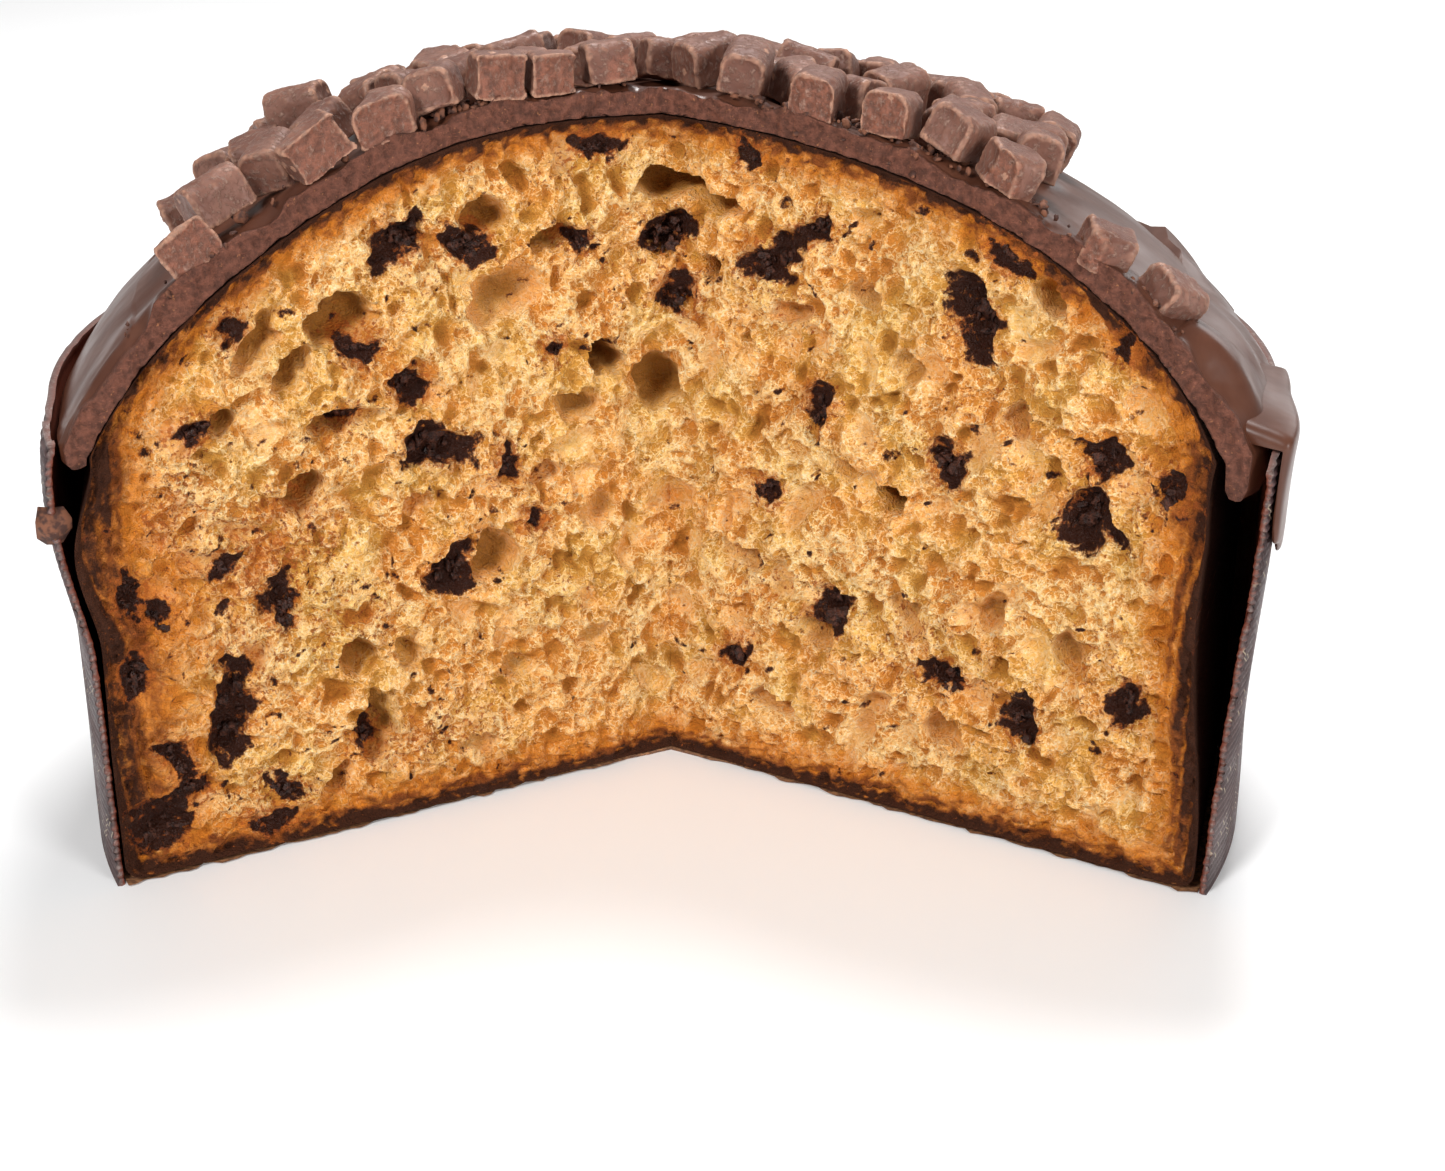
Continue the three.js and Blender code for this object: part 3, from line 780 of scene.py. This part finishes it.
def chunkSeats():
    seats = []
    for node in toppingNodes:
        low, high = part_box(node)
        middle = (low + high) / 2 - axis
        bearing = math.degrees(math.atan2(middle.y, middle.x))
        seats.append((math.hypot(middle.x, middle.y) / mm, bearing + 360 if bearing < -60 else bearing))
    return seats


def fromCuts(radius, bearing):  # how far a place is from the nearer cut
    nearest = np.minimum(np.minimum(bearing - cut["right"], cut["left"] - bearing), 90)
    return radius * np.sin(np.radians(nearest))


def glazeLift(radius, bearing, seats):  # how far the glaze stands off the baked dome
    flat = flatPlace(radius, bearing)
    fromCut = fromCuts(radius, bearing)
    lift = glaze["thin"] + (glaze["atCut"] - glaze["thin"]) * hump(fromCut / glaze["cutReach"])
    lift += layered(flat, 24, 41, 2) * 0.35 + layered(flat, 8, 43, 2) * 0.16
    lift += layered(flat, 4.5, 47, 3) * 0.95 * hump(fromCut / 4)
    flank = smooth(radius, 38, 66) * smooth(98, 84, radius)
    rightSide = hump((bearing - 4) / 62) * smooth(fromCut, 0.5, 6)
    run = np.stack([np.radians(bearing) * 85 / glazeLook["foldWidth"], radius / 62], -1)
    run[..., 0] += noise(flat / 22, 1, 46) * 0.9
    ridge = 1 - np.abs(noise(run, 1.0, 45)) * 2.4 + noise(run, 0.45, 49) * 0.25
    lift += ridge * glazeLook["foldDepth"] * 0.5 * flank * rightSide
    wave = np.sin(np.radians(11 * bearing + 70 * np.sin(np.radians(2 * bearing))))
    lift += 0.4 * wave * flank * (1 - rightSide)
    swelling = hump((bearing + 17) / 18) * hump((radius - 91) / 10) * smooth(fromCut, 0, 5)
    lift += glazeLook["swelling"] * swelling
    for seat in seats:
        lift += 0.9 * hump(np.linalg.norm(flat - flatPlace(*seat), axis=-1) / 7)
    return np.maximum(lift, gap + 0.4)


def tornBand(points):  # how far the knife tore the glaze at a place of the cut, in millimetres
    spots = points / mm
    return layered(spots, 3.5, 50, 2) * 0.35 + layered(spots, 1.3, 51, 3) * 0.42


def makeGlaze(seats, material):
    topHeight = domeHeight(0, 90)

    def skin(v, bearing, outside=True):
        radius = domeRadius * np.sin(np.pi / 2 * v)
        outward, upward = domeNormal(radius, bearing)
        lift = glazeLift(radius, bearing, seats) if outside else gap
        height = domeHeight(radius, bearing) + lift * upward
        out = radius + lift * outward
        if outside:
            rim = innerWall - gap + wallLean(np.minimum(height, mould["height"]), bearing)
            overRim = smooth(height, mould["height"] - 0.5, mould["height"] + 3)
            out = np.minimum(out, rim + overRim * (1.0 + 3.4 * hump((bearing + 12) / 26)))
        onAxis = v < 1e-6
        top = topHeight + (glazeLook["atTop"] if outside else gap)
        return np.where(onAxis, 0, out), np.where(onAxis, top, height)

    def torn(radius, bearing, height, u):
        points = polar(radius, bearing, height)
        fromAxis = np.hypot(points[:, 0] - axis.x, points[:, 1] - axis.y) / mm
        shift = nearEnds(u, 0.004) * tornBand(points) * smooth(fromAxis, 0, 4) * np.where(u < 0.5, mm, -mm)
        turn = np.radians(np.where(u < 0.5, cut["right"], cut["left"]))
        points[:, 0] -= np.sin(turn) * shift
        points[:, 1] += np.cos(turn) * shift
        return points, {"sliced": nearEnds(u, 0.006, 0.001)}

    def surface(outside):
        def place(u, v):
            bearing = roundLoaf(u, glazeLook["crowding"])
            radius, height = skin(v, bearing, outside)
            return torn(radius, bearing, height, u)

        return sheet("glaze_skin", glazeLook["columns"], glazeLook["rows"], place)

    def between(share, u, v):
        bearing = roundLoaf(u, glazeLook["crowding"])
        outRadius, outHeight = skin(v, bearing)
        inRadius, inHeight = skin(v, bearing, False)
        return blend(inRadius, outRadius, share), bearing, blend(inHeight, outHeight, share)

    def band(end):
        def place(u, v):
            ends = np.full_like(u, end)
            return torn(*between(u, ends, v), ends)

        return sheet("glaze_band", glazeLook["bandRows"], glazeLook["rows"], place)

    def hem(u, v):  # the lower edge, round between the crust and the paper
        radius, bearing, height = between((1 - np.cos(np.pi * v)) / 2, u, np.ones_like(u))
        wave = 2 * np.sin(np.radians(4 * bearing)) + 1.5 * np.sin(np.radians(9 * bearing + 40))
        height -= (height - glaze["edge"] - wave) * np.sin(np.pi * v) ** 0.5
        return torn(radius, bearing, height, u)

    parts = [surface(True), surface(False), band(0), band(1)]
    parts.append(sheet("glaze_hem", glazeLook["columns"], glazeLook["edgeRows"], hem))
    whole = joined("glaze_poured", parts)
    fillHoles(whole)
    print("glaze:", len(whole.data.polygons), "faces")
    return finished(whole, material, "glaze", "chocolate_glaze")


def makeDrip(material):  # a thick run that came over the rim and set down the outside of the paper
    def place(u, v):
        bearing = blend(drip["from"], drip["to"], u)
        full = np.sin(np.pi * np.clip(0.22 + 0.78 * u, 0.0, 1.0)) ** 0.6
        wobble = layered(np.stack([bearing, 0 * bearing], -1), 5, 91, 2)
        bottom = mould["height"] - (mould["height"] - drip["bottom"]) * full * (1 + wobble * 0.12)
        lip = mould["radius"] + gap + wallLean(mould["height"], bearing)
        foot = mould["radius"] + gap + wallLean(bottom, bearing)
        top = mould["height"] + gap
        ledge = drip["ledge"] * full
        thick = drip["thick"] * full + 0.05
        root = innerWall - 5
        middle = (bottom + top) / 2
        waist = blend(lip, foot, 0.5)
        spots = [
            (root, top), (blend(root, lip, 0.5), top), (lip, top), (lip, middle + 6),
            (waist, middle), (foot, bottom + 1.5), (foot + thick * 0.35, bottom),
            (foot + thick * 0.85, bottom + 0.8), (foot + thick, bottom + 3),
            (waist + thick * 0.75, middle), (lip + thick * 0.7, top - 2),
            (lip + thick, top + ledge * 0.12), (lip + thick * 0.5, top + ledge * 0.38),
            (lip - 1.5, top + ledge * 0.5), (blend(root, lip, 0.4), top + ledge * 0.72),
            (root - 3, top + ledge),
        ]
        count = len(spots)
        low = np.floor(v * count).astype(int)
        part = (v * count - low)[:, None]
        stack = np.array([np.stack(np.broadcast_arrays(*spot, u)[:2], -1) for spot in spots])
        weights = [(1 - part) ** 3, 3 * part**3 - 6 * part**2 + 4]  # of a smooth closed curve
        weights += [-3 * part**3 + 3 * part**2 + 3 * part + 1, part**3]
        near = [stack[(low + step) % count, np.arange(len(u))] for step in (-1, 0, 1, 2)]
        radius, height = sum(weight * spot for weight, spot in zip(weights, near)).T / 6
        ends = np.minimum(smooth(u, 0, 0.03), smooth(u, 1, 0.88))
        radius = blend(blend(lip, innerWall - 1.5, u), radius, ends)
        height = blend(top - 4 * u, height, ends)
        return polar(radius, bearing, height), {"sliced": 0 * u}

    run = joined("glaze_drip", [sheet("drip", drip["columns"], drip["round"], place)])
    return finished(run, material, "glaze")


# The topping chunks

chunkLook = {"dent": 0.32, "rim": 0.8, "voxel": 0.36, "rough": 0.15, "sink": 0.8}
sunkChunks = {"topping_chunk_19": 3.4, "topping_chunk_20": 3.8}  # lower in the glaze than the rest


def applied(piece, kind, **settings):
    modifier = piece.modifiers.new(kind, kind)
    for key, value in settings.items():
        setattr(modifier, key, value)
    bpy.ops.object.modifier_apply(modifier=kind)


def paintSliced(piece):  # 1 where a knife went through: on the two cut planes
    x, y = (coordinates(piece) - np.array(axis))[:, :2].T / mm
    sliced = 0 * x
    for side, sign in (("left", -1), ("right", 1)):
        along, off = turned(x, y, -cut[side])
        sliced = np.maximum(sliced, smooth(off * sign, 0.8, 0.35) * (along > 0))
    paint(piece, "sliced", sliced)


def makeChunk(node, number):
    piece = copyOf(bpy.data.objects[node], node.replace("topping_chunk", "chunk"))
    editAll(piece)
    bpy.ops.mesh.remove_doubles(threshold=0.00001)
    bpy.ops.mesh.dissolve_limited(angle_limit=math.radians(4))
    bpy.ops.mesh.select_all(action="DESELECT")
    editDone()
    for face in piece.data.polygons:  # the broad ends set a little hollow
        face.select = len(face.vertices) >= 7 and face.area > 18 * mm * mm
    bpy.ops.object.mode_set(mode="EDIT")
    bpy.ops.mesh.select_mode(type="FACE")
    bpy.ops.mesh.inset(thickness=chunkLook["rim"] * mm)
    bpy.ops.transform.shrink_fatten(value=-chunkLook["dent"] * mm)
    editDone()
    choose(piece)
    applied(piece, "REMESH", mode="VOXEL", voxel_size=chunkLook["voxel"] * mm)
    applied(piece, "SMOOTH", factor=0.5, iterations=1)
    points, seed = coordinates(piece), 60 + number
    rough = layered(points / mm, 3.2, seed) * 1.4 + layered(points / mm, 1.1, seed + 3, 2) * 0.6
    moveTo(piece, points + coordinates(piece, "normal") * rough[:, None] * chunkLook["rough"] * mm)
    return piece


def onDome(radius, bearing):
    return Vector(polar(radius, bearing, domeHeight(radius, bearing)))


def seatMatrix(radius, bearing, spin):  # upright on the dome at a place
    tilt = Vector((0, 0, 1)).rotation_difference(domeUp(radius, bearing)).to_matrix().to_4x4()
    return Matrix.Translation(onDome(radius, bearing)) @ tilt @ Matrix.Rotation(math.radians(spin), 4, "Z")


def makeChunks(material, seats):
    pieces = []
    for number, (node, seat) in enumerate(zip(toppingNodes, seats)):
        piece = makeChunk(node, number)
        sink = sunkChunks.get(node, chunkLook["sink"]) * mm
        piece.data.transform(Matrix.Translation(domeUp(*seat) * -sink))
        paintSliced(piece)
        pieces.append(finished(piece, material, "topping_chocolate", node, angle=50))
    print("chunks refined:", len(pieces))
    return pieces


extraChunks = {"most": 70, "spacing": 2.7, "clear": 8.9, "insideCut": 7, "reach": 66, "reachBack": 14}


def makeExtraChunks(material, pieces, seats):  # the rest of the far side's topping, in a loose spiral
    rng = np.random.default_rng(23)
    taken = [flatPlace(*seat) for seat in seats]
    whole = [(piece, seat) for piece, seat in zip(pieces, seats) if painted(piece, "sliced").max() < 0.05]
    made = 0
    for turn in range(1, 900):
        radius = extraChunks["spacing"] * math.sqrt(turn) * (1 + 0.04 * math.sin(turn * 2.3))
        bearing = (turn * 137.508 + rng.uniform(-8, 8) + 30) % 360 - 30
        limit = extraChunks["reach"] + extraChunks["reachBack"] * math.sin(math.radians(bearing))
        inside = fromCuts(radius, bearing) >= extraChunks["insideCut"]
        if not (inside and -22 < bearing < 200 and radius <= limit):
            continue
        spot = flatPlace(radius, bearing)
        crowded = np.linalg.norm(np.array(taken) - spot, axis=-1).min() < extraChunks["clear"]
        if made >= extraChunks["most"] or crowded:
            continue
        source, seat = whole[rng.integers(len(whole))]
        made += 1
        piece = copyOf(source, f"chunk_more_{made:02d}")
        move = seatMatrix(radius, bearing, rng.uniform(0, 360)) @ seatMatrix(*seat, 0).inverted()
        piece.data.transform(move)
        taken.append(spot)
        finished(piece, material, "topping_chocolate", angle=50)
    print("more chunks:", made)


# Crumbs and shavings the knife left

shavings = {"count": 260, "least": 0.3, "most": 1.0, "seed": 77}
scrap = {"place": (102.6, 207.0, 63), "size": 2.5, "stretch": (1.0, 0.8, 1.2)}  # on the paper's left edge


def makeShavings(material):
    rng = np.random.default_rng(shavings["seed"])
    places = []
    for _ in range(shavings["count"]):
        side, sign = ("right", 1) if rng.random() < 0.6 else ("left", -1)
        radius = rng.uniform(4, 88) if rng.random() < 0.55 else rng.uniform(22, 46)
        bearing = cut[side] + sign * np.degrees(rng.uniform(0.1, 5) / max(radius, 6))
        outward, upward = domeNormal(radius, bearing)
        off = glaze["atCut"] * (rng.uniform(0.1, 1.15) if rng.random() < 0.4 else 1.15)
        height = domeHeight(radius, bearing) + off * upward
        size = shavings["least"] * (shavings["most"] / shavings["least"]) ** (rng.random() ** 1.8)
        places.append((polar(radius + off * outward, bearing, height), size))
    stretches = [rng.uniform(0.5, 1.3, 3) for _ in places]
    places.append((polar(*scrap["place"]), scrap["size"]))
    stretches.append(scrap["stretch"])

    def shapes(ball):
        for number, ((spot, size), stretch) in enumerate(zip(places, stretches)):
            swell = 1 + layered(ball + number * 5.1, 0.8, 33)[:, None] * 0.6
            yield ball * size * stretch * swell * mm + spot

    return ballCopies("glaze_crumbs", shapes, material)


# The paper mould

paper = {
    "columns": 150, "pitch": 1.5, "perRib": 5, "ribDepth": 0.4, "rimFray": 0.9, "cutFray": 0.8,
    "crowding": 0.14,
}


def rimDrop(bearing):  # how far the torn rim falls below the mould's height
    flat = np.stack([bearing, 0 * bearing], -1)
    ragged = np.abs(layered(flat, 2.5, 71)) * paper["rimFray"]
    nearCuts = np.maximum(nearness(bearing, "left", 14), nearness(bearing, "right", 12))
    return 0.2 + ragged * (0.35 + 2.6 * nearCuts)


def makeWall(material):
    rows = int(mould["height"] / paper["pitch"]) * paper["perRib"]

    def place(u, v):
        step = np.rint(v * (2 * rows + 2))
        goesUp = step <= rows
        closing = step == 2 * rows + 2
        share = np.where(goesUp, step, np.where(closing, 0, 2 * rows + 1 - step)) / rows
        outside = goesUp | closing
        bearing = roundLoaf(u, paper["crowding"])
        height = share * (mould["height"] - rimDrop(bearing))
        notch = (1 - np.cos(2 * np.pi * height / paper["pitch"])) / 2
        fray = np.abs(layered(np.stack([height, 9 * np.sign(u - 0.5)], -1), 3.4, 73)) + notch * 0.35
        bearing = bearing + np.where(u < 0.5, 1, -1) * fray * nearEnds(u, 0.03) * paper["cutFray"]
        outer = mould["radius"] - paper["ribDepth"] * notch
        ply = 0.35 * smooth(share, 0.97, 1)
        radius = np.where(outside, outer, innerWall) - ply
        radius = np.where((u < 1e-6) | (u > 1 - 1e-6), (mould["radius"] + innerWall) / 2, radius)
        slack = layered(np.stack([bearing * 1.7, height], -1), 34, 75, 2) * 0.4 - 0.3
        slack *= smooth(height, 0, 25) * smooth(height, 77, 50)
        radius += wallLean(height, bearing) + slack * (1 - nearness(bearing, "left", 12))
        masks = {
            "along": np.radians(bearing) * mould["radius"],
            "up": height,
            # the corrugation's grooves, where the paper's painted shade goes
            "grooveShade": notch * outside,
            "inside": 1.0 - outside,
            "torn": np.maximum(nearEnds(u, 0.006), smooth(share, 0.988, 0.998)),
        }
        return polar(radius, bearing, height), masks

    wall = joined("mould_wall_paper", [sheet("wall", paper["columns"], 2 * rows + 2, place)])
    print("wall:", len(wall.data.polygons), "faces")
    return finished(wall, material, "mould_paper", "mould_wall", angle=70)


def makeBase(material):
    radius = innerWall - gap
    rings = 70

    def place(u, v):
        step = np.rint(v * (2 * rings + 1))
        onTop = step > rings
        share = np.where(onTop, 2 * rings + 1 - step, step) / rings
        bearing = roundLoaf(u)
        fray = layered(np.stack([share * radius, 5 * np.sign(u - 0.5)], -1), 2.6, 81) * 0.7 - 0.1
        fray = np.sign(u - 0.5) * fray * nearEnds(u, 0.02)
        bearing = bearing + np.degrees(fray / np.maximum(share * radius, 9))
        height = np.where((u < 1e-6) | (u > 1 - 1e-6), mould["base"] / 2, mould["base"] * onTop)
        return polar(share * radius, bearing, height), {}

    disc = joined("mould_base_paper", [sheet("base", 90, 2 * rings + 1, place)])
    fillHoles(disc)
    return finished(disc, material, "base_paper", "mould_base", angle=40)


# The setting

def makeStage():
    deselectAll()
    bpy.ops.mesh.primitive_plane_add(size=6, location=(0, 0, 0))
    floor = bpy.context.object
    floor.name = "floor"
    finish = Finish("pale_floor", 0.35)
    tone = finish.ramp(finish.cloud(400, 2), 0.2, 0.8)
    floor.data.materials.append(finish.feed(Base_Color=finish.coats((0.90,) * 3, (tone, (0.92,) * 3))))
    world = bpy.data.worlds.new("studio")
    world.use_nodes = True
    background = world.node_tree.nodes["Background"].inputs
    background["Color"].default_value = (1, 1, 1, 1)
    background["Strength"].default_value = 0.3
    bpy.context.scene.world = world


lights = {  # place, width and power
    "key_light": ((-0.6, -0.95, 0.9), 0.3, 13.8), "fill_light": ((0.9, -1.0, 0.5), 0.5, 11),
    "top_light": ((0.1, 0.5, 1.0), 0.42, 12.5), "back_light": ((0.75, 0.95, 0.4), 0.5, 1.4),
}


def makeLights():
    middle = Vector((0, 0, 0.06))
    for name, (place, width, power) in lights.items():
        deselectAll()
        bpy.ops.object.light_add(type="AREA", location=place)
        light = bpy.context.object
        light.name = name
        light.data.shape = "DISK"
        light.data.size = width
        light.data.energy = power
        light.rotation_euler = (middle - Vector(place)).to_track_quat("-Z", "Y").to_euler()


view = {"back": 365.5, "aside": 9.3, "height": 198.3, "down": 24.4, "focal": 57.3}


def makeCamera():
    place = axis + Vector((view["aside"], -view["back"], view["height"])) * mm
    bpy.ops.object.camera_add(location=place, rotation=(math.radians(90 - view["down"]), 0, 0))
    camera = bpy.context.object
    camera.name = "camera"
    camera.data.lens = view["focal"]
    camera.data.clip_start = 0.01
    bpy.context.scene.camera = camera


makeCamera()
makeLights()
makeStage()
bpy.context.scene.view_settings.view_transform = "Standard"
print("stage set")

crumbMap = CrumbMap()
print("crumb mapped")
crumbMaterial = crumbFinish()
for side in ("left", "right"):
    makeLoafHalf(crumbMap, crumbMaterial, side)
makeLumps(crumbMap, lumpFinish())
seats = chunkSeats()
glazeMaterial = glazeFinish()
makeGlaze(seats, glazeMaterial)
makeDrip(glazeMaterial)
chunkMaterial = chunkFinish()
chunks = makeChunks(chunkMaterial, seats)
makeExtraChunks(chunkMaterial, chunks, seats)
makeShavings(crumbsFinish())
makeWall(paperFinish())
makeBase(basePaperFinish())
